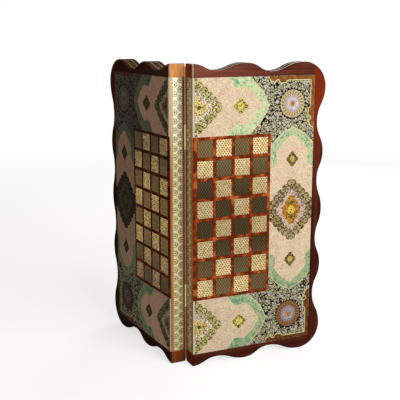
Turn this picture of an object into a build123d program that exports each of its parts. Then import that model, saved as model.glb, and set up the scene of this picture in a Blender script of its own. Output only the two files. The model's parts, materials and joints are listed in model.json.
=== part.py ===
from build123d import *
import os

# Folding games case: half a chessboard on each outer face, a backgammon field inside.
# Each tray is modelled lying face up. X runs from the hinge axis to the free edge,
# Y along the hinge towards the top, Z from the rim up to the outer face.
# The last section stands both trays on end, half open. Sizes are in millimetres.

# Whole case
case_height = 500.0
tray_width = 245.1
tray_depth = 28.0
opening_angle = 94.0
hinge_offset = 0.6
rim_gap = 0.3
face_round = 3.8
rim_round = 0.6
corner_round = 2.0

# Wavy short edges: distance from the hinge wall, and depth of each dip
first_dip_at = 44.6
first_dip_depth = 11.0
short_crest_at = 97.6
second_dip_at = 143.6
second_dip_depth = 14.4
lobe_radius = 41.4

# Wavy free edge: distance from mid-height, and depth of each dip below the lobes
inner_dip_at = 51.5
inner_dip_depth = 12.3
free_crest_at = 98.6
outer_dip_at = 150.5
outer_dip_depth = 14.8
crest_drop = 1.8

# Frame and boards
rail_width = 21.7
stile_width = 22.9
ledge = 10.0
wall_thickness = 12.6
board_thickness = 4.0
board_fit = 0.1
skin_thickness = 1.2

# Chess field
chess_pitch = 33.15
line_width = 5.0
edge_line_width = 8.0
columns = 4
rows = 8

# Marquetry let into the walls
inlay_depth = 2.0
inlay_recess = 0.15
strip_margin = 4.0
band_margin = 5.0
band_end_gap = 8.0

# Playing field inside
field_thickness = 1.2
field_border_width = 6.0
points_per_end = 6
point_to_star = 10.0
point_gap = 4.0
star_radius = 30.0

# Dowels in the corner joints
dowel_radius = 2.5
dowel_length = 30.0
dowel_above_panel = 6.0
lower_dowel_level = 8.0
upper_dowel_level = 17.0
dowel_fit = 0.02

# Butt hinges
hinge_at = 133.0
hinge_length = 38.0
barrel_radius = 2.2
barrel_clearance = 0.5
pin_radius = 1.0
pin_fit = 0.05
pin_end = 0.4
knuckles = 5
knuckle_gap = 0.35
leaf_thickness = 1.2
leaf_reach = 11.0
leaf_clearance = 0.4
leaf_corner = 1.5

# Wood screws of the hinges
screw_count = 3
screw_pitch = 13.0
screw_radius = 0.9
screw_head_radius = 1.8
screw_head_depth = 0.9
screw_length = 9.0
screw_fit = 0.02
slot_width = 0.5
slot_depth = 0.35

# Hook latches on the free edges
latch_from_rim = 8.0
stem_radius = 1.5
stem_fit = 0.05
stem_in_wood = 12.0
collar_radius = 2.8
collar_height = 0.6
plate_gap = 0.3
hook_thickness = 1.2
knob_radius = 2.5
knob_height = 1.1
hook_eye_radius = 3.2
hook_arm_width = 2.6
hook_tail = 5.0
jaw_clearance = 0.4

# Places that follow from the sizes above
half_height = case_height / 2
wall_x = hinge_offset
reach_x = wall_x + tray_width
panel_x = reach_x - stile_width
panel_y = half_height - rail_width
cavity_x0 = wall_x + wall_thickness
cavity_x1 = panel_x - ledge
cavity_y = panel_y - ledge
rim_z = rim_gap / 2
board_top_z = tray_depth - skin_thickness
board_under_z = board_top_z - board_thickness
field_z = board_under_z - field_thickness
square_size = chess_pitch - line_width
block_x = wall_x + edge_line_width + columns * chess_pitch
block_y = (rows * chess_pitch + line_width) / 2
free_crest_x = reach_x - crest_drop
beyond = case_height + tray_width
leaf_start = barrel_radius + leaf_clearance
leaf_top_z = rim_z + leaf_thickness
knuckle_length = (hinge_length - (knuckles - 1) * knuckle_gap) / knuckles
latch_length = 2 * latch_from_rim


def block(x0, x1, y0, y1, z0, z1):
    """A box between two corners."""
    size = (x1 - x0, y1 - y0, z1 - z0)
    return Pos(x0, y0, z0) * Box(*size, align=(Align.MIN, Align.MIN, Align.MIN))


def bar_along_y(x, y0, y1, z, radius):
    """A round bar parallel to the hinge."""
    lying = Rot(-90, 0, 0) * Cylinder(radius, y1 - y0, align=(Align.CENTER, Align.CENTER, Align.MIN))
    return Pos(x, y0, z) * lying


def bar_along_x(x0, x1, y, z, radius):
    """A round bar square to the hinge wall."""
    lying = Rot(0, 90, 0) * Cylinder(radius, x1 - x0, align=(Align.CENTER, Align.CENTER, Align.MIN))
    return Pos(x0, y, z) * lying


# Outline of a tray

def wave(points, level):
    """Arcs through crests and dips, level at each of them."""
    arcs = []
    for start, end in zip(points, points[1:]):
        middle = (start + end) / 2
        arcs.append(TangentArc(start, middle, tangent=level))
        arcs.append(TangentArc(end, middle, tangent=-level))
    return arcs


def tray_outline():
    """Straight along the hinge, wavy on the other three sides, with round corner lobes."""
    short_edge = [
        Vector(wall_x, half_height),
        Vector(wall_x + first_dip_at, half_height - first_dip_depth),
        Vector(wall_x + short_crest_at, half_height),
        Vector(wall_x + second_dip_at, half_height - second_dip_depth),
        Vector(reach_x - lobe_radius, half_height),
    ]
    free_edge = [
        Vector(reach_x, half_height - lobe_radius),
        Vector(reach_x - outer_dip_depth, outer_dip_at),
        Vector(free_crest_x, free_crest_at),
        Vector(reach_x - inner_dip_depth, inner_dip_at),
        Vector(free_crest_x, 0),
    ]
    across = Vector(1, 0)
    down = Vector(0, -1)
    upper = wave(short_edge, across) + wave(free_edge, down)
    upper.append(TangentArc(short_edge[-1], free_edge[0], tangent=across))
    lower = [mirror(arc, about=Plane.XZ) for arc in upper]
    hinge_side = Line((wall_x, -half_height), (wall_x, half_height))
    return make_face(upper + lower + [hinge_side])


def tray_envelope(outline):
    """The whole tray as one block, with every outer edge rounded."""
    body = Pos(0, 0, rim_z) * extrude(outline, tray_depth - rim_z)
    hinge_corners = body.edges().filter_by(Axis.Z).sort_by(Axis.X)[:2]
    body = fillet(hinge_corners, corner_round)
    body = fillet(body.faces().sort_by(Axis.Z)[-1].edges(), face_round)
    return fillet(body.faces().sort_by(Axis.Z)[0].edges(), rim_round)


# Zones that share the tray among its members

def stile_zone():
    """Free-edge member, with a ledge under the board."""
    under = block(cavity_x1, beyond, -beyond, beyond, 0, board_under_z)
    return under + block(panel_x, beyond, -beyond, beyond, board_under_z, beyond)


def top_rail_zone():
    """Upper end member, with a ledge under the board."""
    under = block(0, beyond, cavity_y, beyond, 0, board_under_z)
    return under + block(0, beyond, panel_y, beyond, board_under_z, beyond)


def wall_zone():
    """Straight wall under the board's hinge edge."""
    return block(wall_x, cavity_x0, -panel_y, panel_y, 0, board_under_z)


# Joints inside the frame

def corner_dowels(extra=0.0):
    """Two dowels in each of the four corner joints; extra widens them into their holes."""
    half = dowel_length / 2 + extra
    radius = dowel_radius + extra
    wall_middle = (wall_x + cavity_x0) / 2
    dowels = []
    for side in (1, -1):
        rail_y = side * (panel_y + dowel_above_panel)
        wall_end = side * panel_y
        for level in (lower_dowel_level, upper_dowel_level):
            dowels.append(bar_along_x(cavity_x1 - half, cavity_x1 + half, rail_y, level, radius))
            dowels.append(bar_along_y(wall_middle, wall_end - half, wall_end + half, level, radius))
    return dowels


# Marquetry let into the wavy edges

def edge_ring(outline, out_by, in_by):
    """A ring that follows the outline, between two depths below it."""
    outer = offset(outline, amount=-out_by) if out_by else outline
    ring = outer - offset(outline, amount=-in_by)
    low = band_margin
    high = board_under_z
    return Pos(0, 0, low) * extrude(ring, high - low)


def band_zones():
    """Where the top and free-edge bands lie; they meet at the corner joint."""
    top = block(wall_x + band_end_gap, cavity_x1, cavity_y, beyond, 0, tray_depth)
    free = block(cavity_x1, beyond, -beyond, beyond, 0, tray_depth)
    return top, free


# Hinges

def hinge_ends(middle):
    """Lower and upper end of the hinge whose middle is given."""
    return middle - hinge_length / 2, middle + hinge_length / 2


def screw_places(middle):
    """Places of a leaf's screws, in line along it."""
    x = (leaf_start + leaf_reach) / 2
    first = middle - screw_pitch * (screw_count - 1) / 2
    return [(x, first + i * screw_pitch) for i in range(screw_count)]


def countersink(x, y, radius, head_radius, length):
    """A countersunk shape that goes into the rim: the screw itself, or its hole."""
    base = (Align.CENTER, Align.CENTER, Align.MIN)
    head = Cone(head_radius, radius, screw_head_depth, align=base)
    shank = Cylinder(radius, length, align=base)
    return Pos(x, y, rim_z) * (head + shank)


def hinge_screw(x, y):
    """Countersunk wood screw with one slot."""
    slot = block(
        x - screw_head_radius, x + screw_head_radius,
        y - slot_width / 2, y + slot_width / 2,
        rim_z, rim_z + slot_depth,
    )
    return countersink(x, y, screw_radius, screw_head_radius, screw_length) - slot


def hinge_leaf(middle, own_knuckles):
    """Leaf let into the rim, with its share of the knuckles round the hinge axis."""
    low, high = hinge_ends(middle)
    leaf = block(leaf_start, leaf_reach, low, high, rim_z, leaf_top_z)
    leaf = fillet(leaf.edges().filter_by(Axis.Z).sort_by(Axis.X)[-2:], leaf_corner)
    for k in own_knuckles:
        start = low + k * (knuckle_length + knuckle_gap)
        end = start + knuckle_length
        leaf += block(0, leaf_start, start, end, rim_z, leaf_top_z)
        leaf += bar_along_y(0, start, end, 0, barrel_radius)
    leaf -= bar_along_y(0, low - pin_end, high + pin_end, 0, pin_radius + pin_fit)
    for x, y in screw_places(middle):
        hole_radius = screw_radius + screw_fit
        head_radius = screw_head_radius + screw_fit
        leaf -= countersink(x, y, hole_radius, head_radius, screw_length)
    return leaf


def hinge_pin(middle):
    """Pin that stands a little out of the barrel at each end."""
    low, high = hinge_ends(middle)
    return bar_along_y(0, low - pin_end, high + pin_end, 0, pin_radius)


def hinge_recess(middle):
    """What the hinge wall loses to one hinge: leaf mortise, barrel notch, screw holes."""
    low, high = hinge_ends(middle)
    mortise_reach = leaf_reach + board_fit
    recess = block(0, mortise_reach, low - board_fit, high + board_fit, 0, leaf_top_z)
    notch_radius = barrel_radius + barrel_clearance
    recess += bar_along_y(0, low - barrel_clearance, high + barrel_clearance, 0, notch_radius)
    for x, y in screw_places(middle):
        hole = Cylinder(
            screw_radius + screw_fit, screw_length + screw_fit,
            align=(Align.CENTER, Align.CENTER, Align.MIN),
        )
        recess += Pos(x, y, rim_z) * hole
    return recess


# Hook latches

def latch_stem(y):
    """Screw that a hook turns on or catches: shank in the wood, collar, stem and knob."""
    plate_space = 2 * plate_gap + hook_thickness
    collar_x = free_crest_x + collar_height
    knob_x = collar_x + plate_space
    z = latch_from_rim
    stem = bar_along_x(free_crest_x - stem_in_wood, knob_x, y, z, stem_radius)
    stem += bar_along_x(free_crest_x, collar_x, y, z, collar_radius)
    knob = bar_along_x(knob_x, knob_x + knob_height, y, z, knob_radius)
    knob = fillet(knob.faces().sort_by(Axis.X)[-1].edges(), knob_height / 2)
    return stem + knob


def latch_hole(y):
    """Hole in the stile for a latch stem."""
    depth = stem_in_wood + dowel_fit
    z = latch_from_rim
    return bar_along_x(free_crest_x - depth, beyond, y, z, stem_radius + dowel_fit)


def latch_hook(y):
    """Flat hook that hangs down from its stem, its jaw open towards the other tray."""
    arm = Pos(-latch_length / 2, 0) * Rectangle(latch_length, hook_arm_width)
    tail = Pos(-latch_length - hook_tail / 2, 0) * Rectangle(hook_tail, hook_arm_width)
    tail_end = Pos(-latch_length - hook_tail, 0) * Circle(hook_arm_width / 2)
    jaw_radius = stem_radius + jaw_clearance
    shape = Circle(hook_eye_radius) + arm + tail + tail_end
    shape += Pos(-latch_length, 0) * Circle(hook_eye_radius)
    shape -= Circle(stem_radius + stem_fit)
    shape -= Pos(-latch_length, 0) * Circle(jaw_radius)
    shape -= Pos(-latch_length, -hook_eye_radius) * Rectangle(2 * jaw_radius, 2 * hook_eye_radius)
    under_x = free_crest_x + collar_height + plate_gap
    plate = extrude(Plane.YZ * shape, hook_thickness)
    return Pos(under_x, y, latch_from_rim) * plate


# One tray

def frame_members(outline, envelope, hinge_places, latch_places):
    """Stile, rails and hinge wall, with the grooves and holes for all that they hold."""
    grooves = edge_ring(outline, 0, inlay_depth)
    top_groove_zone, free_groove_zone = band_zones()
    top_groove = grooves & top_groove_zone
    free_groove = grooves & free_groove_zone
    stile = (envelope & stile_zone()) - free_groove
    for y in latch_places:
        stile -= latch_hole(y)
    top_rail = (envelope & top_rail_zone()) - stile_zone() - wall_zone() - top_groove
    bottom_rail = mirror(top_rail, about=Plane.XZ)
    wall = envelope & wall_zone()
    wall -= block(wall_x, wall_x + inlay_depth, -panel_y, panel_y, strip_margin, board_under_z)
    for middle in hinge_places:
        wall -= hinge_recess(middle)
    members = {
        "stile": stile,
        "top_rail": top_rail,
        "bottom_rail": bottom_rail,
        "hinge_wall": wall,
    }
    dowel_holes = corner_dowels(dowel_fit)
    return {name: member - dowel_holes for name, member in members.items()}


def edge_inlays(outline, latch_places):
    """Marquetry strip on the hinge wall and bands in the wavy edges."""
    ring = edge_ring(outline, inlay_recess, inlay_depth)
    top_zone, free_zone = band_zones()
    free_band = ring & free_zone
    for y in latch_places:
        free_band -= latch_hole(y)
    top_band = ring & top_zone
    strip_x0 = wall_x + inlay_recess
    strip_x1 = wall_x + inlay_depth
    return {
        "hinge_strip": block(strip_x0, strip_x1, -panel_y, panel_y, strip_margin, board_under_z),
        "top_band": top_band,
        "bottom_band": mirror(top_band, about=Plane.XZ),
        "free_band": free_band,
    }


def panel_block(z0, z1):
    """The space of a board that lies in the frame, between two heights."""
    edge_y = panel_y - board_fit
    return block(0, panel_x - board_fit, -edge_y, edge_y, z0, z1)


def chess_squares(parity):
    """Every second square of the block: column from the hinge, row from the top."""
    squares = []
    for column in range(columns):
        for row in range(rows):
            if (column + row) % 2 == parity:
                x = wall_x + edge_line_width + column * chess_pitch
                y = block_y - line_width - row * chess_pitch
                squares.append(
                    block(x, x + square_size, y - square_size, y, board_top_z, tray_depth)
                )
    return squares


def outer_face(envelope):
    """Base board, ornamented panel, and the lattice that holds the squares."""
    chess_space = block(0, block_x, -block_y, block_y, board_top_z, tray_depth)
    lines = (chess_space & envelope) - (chess_squares(0) + chess_squares(1))
    return {
        "base_board": panel_block(board_under_z, board_top_z) & envelope,
        "face_panel": (panel_block(board_top_z, tray_depth) & envelope) - chess_space,
        "square_lines": lines,
    }


def field_points(x0, x1, y_edge, parity):
    """Long triangular points from both ends of the field, every second one."""
    pitch = (x1 - x0) / points_per_end
    tip_y = star_radius + point_to_star
    points = []
    for end in (1, -1):
        for i in range(points_per_end):
            if (i + (end < 0)) % 2 == parity:
                left = x0 + i * pitch + point_gap / 2
                right = x0 + (i + 1) * pitch - point_gap / 2
                base_y = end * y_edge
                tip = ((left + right) / 2, end * tip_y)
                corners = [(left, base_y), (right, base_y), tip]
                triangle = make_face(Polyline(*corners, close=True))
                points.append(Pos(0, 0, field_z) * extrude(triangle, field_thickness))
    return points


def field_star(x_middle):
    """Eight-pointed star of two crossed squares."""
    square_side = star_radius * 2 ** 0.5
    star = Rectangle(square_side, square_side) + Rot(0, 0, 45) * Rectangle(square_side, square_side)
    return Pos(x_middle, 0, field_z) * extrude(star, field_thickness)


def playing_field():
    """Inner surface: border, ground, points and star, all flush."""
    whole = block(cavity_x0, cavity_x1, -cavity_y, cavity_y, field_z, board_under_z)
    x0 = cavity_x0 + field_border_width
    x1 = cavity_x1 - field_border_width
    y_edge = cavity_y - field_border_width
    inside = block(x0, x1, -y_edge, y_edge, field_z, board_under_z)
    light = field_points(x0, x1, y_edge, 0)
    dark = field_points(x0, x1, y_edge, 1)
    star = field_star((x0 + x1) / 2)
    ground = inside - (light + dark + [star])
    return {
        "field_border": whole - inside,
        "field_panel": ground,
        "light_points": light,
        "dark_points": dark,
        "field_star": star,
    }


def tray(outline, envelope):
    """Every fixed piece that both trays have alike, by name."""
    hinge_places = (hinge_at, -hinge_at)
    latch_places = (free_crest_at, -free_crest_at)
    pieces = frame_members(outline, envelope, hinge_places, latch_places)
    pieces.update(edge_inlays(outline, latch_places))
    pieces.update(outer_face(envelope))
    pieces.update(playing_field())
    pieces["corner_dowels"] = corner_dowels()
    pieces["hinge_screws"] = [
        hinge_screw(x, y) for middle in hinge_places for x, y in screw_places(middle)
    ]
    return pieces


# Standing the case on end, half open

def stand_right(piece):
    """The right tray, rim to the back."""
    upright = Plane(origin=(0, 0, 0), x_dir=(1, 0, 0), z_dir=(0, -1, 0))
    return upright.location * piece


def stand_left(piece):
    """The left tray: the right one mirrored across the rims, then swung open."""
    return Rot(0, 0, opening_angle) * mirror(stand_right(piece), about=Plane.XZ)


def placed(piece, stand):
    """One solid or a group of separate solids, stood in place."""
    if isinstance(piece, list):
        return Compound(children=[stand(solid) for solid in piece])
    return stand(piece)


def whole_case():
    """All nodes of the case, by name."""
    outline = tray_outline()
    envelope = tray_envelope(outline)
    alike = tray(outline, envelope)
    sides = {
        "right": (stand_right, 0, range(0, knuckles, 2)),
        "left": (stand_left, 1, range(1, knuckles, 2)),
    }
    nodes = {}
    for side, (stand, dark_parity, own_knuckles) in sides.items():
        for name, piece in alike.items():
            nodes[f"{side}_{name}"] = placed(piece, stand)
        nodes[f"{side}_dark_squares"] = placed(chess_squares(dark_parity), stand)
        nodes[f"{side}_light_squares"] = placed(chess_squares(1 - dark_parity), stand)
        for level, middle in (("upper", hinge_at), ("lower", -hinge_at)):
            leaf = hinge_leaf(middle, own_knuckles)
            nodes[f"{level}_hinge_{side}_leaf"] = placed(leaf, stand)
    stems = [latch_stem(free_crest_at), latch_stem(-free_crest_at)]
    nodes["hook_pivots"] = placed(stems, stand_right)
    nodes["hook_studs"] = placed(stems, stand_left)
    for level, side in (("upper", 1), ("lower", -1)):
        nodes[f"{level}_hinge_pin"] = placed(hinge_pin(side * hinge_at), stand_right)
        nodes[f"{level}_hook"] = placed(latch_hook(side * free_crest_at), stand_right)
    return nodes


def footprint_middle(nodes):
    """Middle of the whole case in plan, at its lowest point."""
    boxes = [piece.bounding_box() for piece in nodes.values()]
    low = [min(getattr(box.min, axis) for box in boxes) for axis in "XYZ"]
    high = [max(getattr(box.max, axis) for box in boxes) for axis in "XYZ"]
    return Vector((low[0] + high[0]) / 2, (low[1] + high[1]) / 2, low[2])


case_nodes = whole_case()
case_origin = footprint_middle(case_nodes)
print("hinge axis", -case_origin.X, -case_origin.Y, "mid-height", -case_origin.Z)
os.makedirs("parts", exist_ok=True)
for node_name, node_shape in case_nodes.items():
    export_step(Pos(-case_origin) * node_shape, f"parts/{node_name}.step")
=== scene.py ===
import json
import math

import bmesh
import bpy
from bpy.props import FloatProperty, FloatVectorProperty, IntProperty, PointerProperty
from mathutils import Matrix, Vector


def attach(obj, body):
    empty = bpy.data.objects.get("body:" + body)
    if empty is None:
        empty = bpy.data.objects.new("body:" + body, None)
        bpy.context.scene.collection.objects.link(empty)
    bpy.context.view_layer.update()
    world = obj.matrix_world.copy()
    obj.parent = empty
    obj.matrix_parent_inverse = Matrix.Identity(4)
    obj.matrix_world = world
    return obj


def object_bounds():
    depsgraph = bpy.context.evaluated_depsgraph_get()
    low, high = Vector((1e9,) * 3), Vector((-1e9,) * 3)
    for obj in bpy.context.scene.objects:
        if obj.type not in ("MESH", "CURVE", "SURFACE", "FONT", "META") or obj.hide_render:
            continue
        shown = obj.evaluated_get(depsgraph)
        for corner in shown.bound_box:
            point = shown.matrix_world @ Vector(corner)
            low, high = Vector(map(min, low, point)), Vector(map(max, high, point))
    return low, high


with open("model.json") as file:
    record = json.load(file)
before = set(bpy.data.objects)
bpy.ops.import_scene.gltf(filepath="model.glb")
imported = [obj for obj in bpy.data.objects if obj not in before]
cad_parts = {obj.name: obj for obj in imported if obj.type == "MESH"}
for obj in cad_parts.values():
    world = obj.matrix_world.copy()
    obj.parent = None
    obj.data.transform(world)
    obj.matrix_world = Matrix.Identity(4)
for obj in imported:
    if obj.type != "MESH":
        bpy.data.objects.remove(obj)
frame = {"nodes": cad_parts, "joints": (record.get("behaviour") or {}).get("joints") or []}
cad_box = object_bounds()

bl_info = {
    "name": "Folding Chess Case",
    "version": (1, 0, 0),
    "blender": (4, 5, 0),
    "location": "View3D > Sidebar > Chess Case",
    "description": "Dresses a half-open folding chess case in lacquered wood, marquetry and painted panels",
    "category": "Object",
}

# Each tray has its own millimetres: along from the hinge, up from mid-height, and out
# from the rim to the chess face. Ornament is drawn in them and then stood in place.

MM = 0.001
FOLD = next(joint for joint in frame["joints"] if joint["name"] == "case_fold")
HINGE = Vector(FOLD["pos_m"])
OPENING = math.radians(-FOLD["range_deg"][0])
SIDES = ("right", "left")
NODES = frame["nodes"]

# Sizes of the solids that the ornament is fitted to
FACE = 28.0
WALL = 0.6
FACE_ROUND = 3.8
PANEL_ALONG = 222.8
PANEL_UP = 228.3
SQUARE_START = 8.6
PITCH = 33.15
LINE = 5.0
BLOCK_ALONG = 141.2
BLOCK_UP = 135.1
STRIP_LOW = 4.0
STRIP_HIGH = 22.8
BAND_LOW = 5.0
HINGE_AT = 133.0
HINGE_SPACE = 19.9

# Places on the painted panel, whose paint ends a little short of the frame and starts a little below its face
PAINT_GAP = 0.1
PAINT_ROOT = 0.3
PAINT_ALONG = PANEL_ALONG - PAINT_GAP
PAINT_UP = PANEL_UP - PAINT_GAP
EDGE_START = WALL + FACE_ROUND
END_BAND_MIDDLE = (PANEL_UP + BLOCK_UP) / 2
SIDE_BAND_MIDDLE = 182.6
SIDE_BAND_SHIFT = {"right": 3.0, "left": -1.0}
END_TIP = 137.8
SIDE_TIP = 141.6
TIP_ROOM = 20.0
CARTOUCHE_HALF = 46.7
ROSETTE = (181.0, 182.2)
ROSETTE_TOOTH = 1.7

# The bead round the hinge line: its radius, its ends, and the root that sits in the wall's round edge
BEAD_RADIUS = 0.5
BEAD_END = 245.0
BEAD_ROOT = (1.0, 0.6)

# Distance between the stars of a chess square, six to its width
STAR_PITCH = (PITCH - LINE) / 6

# How bright the ornament's screen colours are on each tray: the left tray's are darker, as painted shade
SIDE_SHADE = {"right": 1.0, "left": 0.7}

# The floor: its radius and how far it lies under the case, in metres, and where it fades, in millimetres
FLOOR_RADIUS = 6.0
FLOOR_DROP = 0.0002
FLOOR_FADE = (800.0, 2500.0)

# Lamps: place, width and height in metres, and power in watts
LAMPS = {
    "key_lamp": ((0.08, -1.25, 1.05), 0.6, 0.8, 11.0),
    "side_lamp": ((0.74, -1.4, 0.75), 0.4, 0.8, 7.4),
    "back_lamp": ((1.2, 1.2, 0.9), 1.0, 1.0, 14.0),
}
LAMP_AIM = Vector((0, 0, 0.27))

# The photographed view: the camera's place from the foot of the hinge line, its heading, tilt and lens
CAMERA_PLACE = Vector((-0.5156, -1.2005, 0.5575))
CAMERA_HEADING = (0.4113, 0.9115)
CAMERA_TILT = math.radians(11.994)
CAMERA_LENS = 73.79


# Colours are written as screen bytes and kept as light

def light(red, green, blue):
    """A screen colour as the linear colour that Blender works in."""
    def one(byte):
        part = byte / 255
        return part / 12.92 if part <= 0.04045 else ((part + 0.055) / 1.055) ** 2.4
    return (one(red), one(green), one(blue))


def colour_property(name, description, red, green, blue):
    """A colour that a user can change in the sidebar."""
    return FloatVectorProperty(
        name=name, description=description, subtype="COLOR", size=3,
        min=0.0, max=1.0, default=light(red, green, blue),
    )


class ChessCaseSettings(bpy.types.PropertyGroup):
    """Sizes and colours of the case that a user would change."""

    relief: FloatProperty(
        name="Paint Relief", description="Height of one painted layer over the one under it",
        default=0.05 * MM, min=0.01 * MM, max=0.2 * MM, unit="LENGTH", precision=5,
    )
    outline_width: FloatProperty(
        name="Outline Width", description="Width of the pale lines round the cartouches",
        default=1.3 * MM, min=0.3 * MM, max=3 * MM, unit="LENGTH", precision=4,
    )
    medallion_length: FloatProperty(
        name="Medallion Length", description="From the middle of a medallion to its tip",
        default=54.0 * MM, min=30 * MM, max=60 * MM, unit="LENGTH",
    )
    medallion_width: FloatProperty(
        name="Medallion Width", description="From the middle of a medallion to its side corner",
        default=49.5 * MM, min=30 * MM, max=60 * MM, unit="LENGTH",
    )
    flower_radius: FloatProperty(
        name="Flower Radius", description="Radius of the flowers round a medallion",
        default=5.2 * MM, min=2 * MM, max=8 * MM, unit="LENGTH", precision=4,
    )
    rosette_radius: FloatProperty(
        name="Rosette Radius", description="Radius of the ring of a corner rosette",
        default=23.4 * MM, min=10 * MM, max=26 * MM, unit="LENGTH",
    )
    rosette_teeth: IntProperty(
        name="Rosette Teeth", description="Dark teeth round a corner rosette", default=26, min=8, max=60,
    )
    frame_colour: colour_property("Frame Wood", "Dark grain of the frame", 62, 26, 17)
    frame_glow: colour_property("Frame Wood Glow", "Bright grain of the frame", 96, 44, 30)
    line_colour: colour_property("Line Wood", "Wood between the squares", 160, 68, 28)
    mint_colour: colour_property("Mint", "Border of the cartouches", 210, 224, 176)
    teal_colour: colour_property("Teal", "Deeper patches of the cartouche border", 128, 186, 150)
    blush_colour: colour_property("Blush", "Field of the cartouches", 242, 224, 190)
    scroll_colour: colour_property("Scroll", "Scrolls of the corner fields", 204, 202, 172)


def settings():
    """The sizes and colours in use."""
    return bpy.context.scene.chess_case


# Shading: sockets that can be reckoned with like numbers

class Value:
    """A number, vector or colour in a material's node tree."""

    def __init__(self, tree, socket):
        self.tree = tree
        self.socket = socket

    def math(self, operation, *others):
        node = self.tree.nodes.new("ShaderNodeMath")
        node.operation = operation
        for slot, item in zip(node.inputs, (self, *others)):
            plug(self.tree, item, slot)
        return Value(self.tree, node.outputs[0])

    def __add__(self, other):
        return self.math("ADD", other)

    def __sub__(self, other):
        return self.math("SUBTRACT", other)

    def __mul__(self, other):
        return self.math("MULTIPLY", other)

    def __truediv__(self, other):
        return self.math("DIVIDE", other)

    def __neg__(self):
        return self.math("MULTIPLY", -1.0)

    def size(self):
        return self.math("ABSOLUTE")

    def below(self, limit):
        return self.math("LESS_THAN", limit)

    def above(self, limit):
        return self.math("GREATER_THAN", limit)

    def least(self, other):
        return self.math("MINIMUM", other)

    def most(self, other):
        return self.math("MAXIMUM", other)

    def wrap(self, span):
        """Where it lies in its repeat, from minus half a span to plus half a span."""
        return self.math("WRAP", span / 2, -span / 2)

    def step(self, low, high):
        """Rises from 0 at low to 1 at high."""
        node = self.tree.nodes.new("ShaderNodeMapRange")
        node.interpolation_type = "SMOOTHSTEP"
        plug(self.tree, self, node.inputs["Value"])
        node.inputs["From Min"].default_value = low
        node.inputs["From Max"].default_value = high
        return Value(self.tree, node.outputs["Result"])

    def parts(self):
        node = self.tree.nodes.new("ShaderNodeSeparateXYZ")
        plug(self.tree, self, node.inputs[0])
        return [Value(self.tree, out) for out in node.outputs]


def plug(tree, item, slot):
    """Links a value into a slot, or writes a plain number or colour there."""
    if isinstance(item, Value):
        tree.links.new(item.socket, slot)
    elif isinstance(item, (tuple, list)) and len(item) == 3 and slot.type == "RGBA":
        slot.default_value = (*item, 1.0)
    else:
        slot.default_value = item


def joined(along, up, out=0.0):
    """A vector from three numbers."""
    node = along.tree.nodes.new("ShaderNodeCombineXYZ")
    for slot, item in zip(node.inputs, (along, up, out)):
        plug(along.tree, item, slot)
    return Value(along.tree, node.outputs[0])


def distance(along, up):
    """Distance from the middle."""
    return (along * along + up * up).math("SQRT")


def noise(place, size, detail=2.0, roughness=0.5):
    """Smooth noise with spots of the given size, from 0 to 1."""
    node = place.tree.nodes.new("ShaderNodeTexNoise")
    plug(place.tree, place, node.inputs["Vector"])
    node.inputs["Scale"].default_value = 1 / size
    node.inputs["Detail"].default_value = detail
    node.inputs["Roughness"].default_value = roughness
    return Value(place.tree, node.outputs["Fac"])


def chips(place, size, feature="F1"):
    """Cells of the given size: distance to the nearest middle with its random colour, or to the edge."""
    node = place.tree.nodes.new("ShaderNodeTexVoronoi")
    node.feature = feature
    plug(place.tree, place, node.inputs["Vector"])
    node.inputs["Scale"].default_value = 1 / size
    near = Value(place.tree, node.outputs["Distance"])
    if feature == "DISTANCE_TO_EDGE":
        return near
    return near, Value(place.tree, node.outputs["Color"])


def blend(share, under, over):
    """One colour over another."""
    node = share.tree.nodes.new("ShaderNodeMix")
    node.data_type = "RGBA"
    plug(share.tree, share, node.inputs["Factor"])
    plug(share.tree, under, node.inputs["A"])
    plug(share.tree, over, node.inputs["B"])
    return Value(share.tree, node.outputs["Result"])


def shaded(colour, factor):
    """A colour made darker or lighter by a number or by another colour."""
    node = colour.tree.nodes.new("ShaderNodeMix")
    node.data_type = "RGBA"
    node.blend_type = "MULTIPLY"
    node.inputs["Factor"].default_value = 1.0
    plug(colour.tree, colour, node.inputs["A"])
    plug(colour.tree, factor, node.inputs["B"])
    return Value(colour.tree, node.outputs["Result"])


def left_shaded(colour, side, up):
    """Paint as one tray shows it: the left tray's has painted shade, darker towards its top."""
    if side == "right":
        return colour
    return blend(up.step(-210.0, 110.0), colour, shaded(colour, light(178, 172, 184)))


def shade_toned(side, *colours):
    """Screen colours as one tray shows them: the left tray's ornament is darkened as painted shade."""
    return [tuple(part * SIDE_SHADE[side] for part in colour) for colour in colours]


def twice_shade_toned(side, *colours):
    """Screen colours of the ornament that gets twice the painted shade."""
    return shade_toned(side, *shade_toned(side, *colours))


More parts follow.
